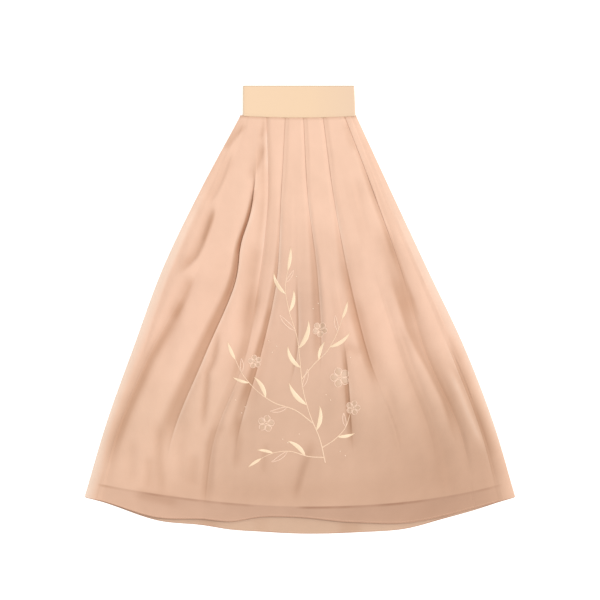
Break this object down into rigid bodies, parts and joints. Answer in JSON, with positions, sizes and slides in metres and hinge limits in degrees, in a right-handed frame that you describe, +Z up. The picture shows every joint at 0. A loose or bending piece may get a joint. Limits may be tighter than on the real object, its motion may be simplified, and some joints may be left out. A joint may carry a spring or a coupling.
{
  "type": "skirt",
  "caption": "Long flared skirt of sheer pleated chiffon over a lining, with a wide plain waistband, laid flat with its front up.",
  "frame": {"origin": "on the table, under the middle of the skirt's outline as it lies", "axes": "+Z up from the table, +Y towards the waist, +X towards the wearer's left side"},
  "size_m": [0.99, 1.03, 0.0138],
  "materials": {
    "chiffon": "matt sheer peach chiffon with a faint sheen",
    "lining": "smooth plain peach lining",
    "waistband": "smooth pale apricot cloth over elastic"
  },
  "bodies": {
    "root": {"skirt_back": "chiffon", "lining_front": "lining", "skirt_front": "chiffon", "waistband_back": "waistband", "waistband_front": "waistband"}
  },
  "joints": []
}
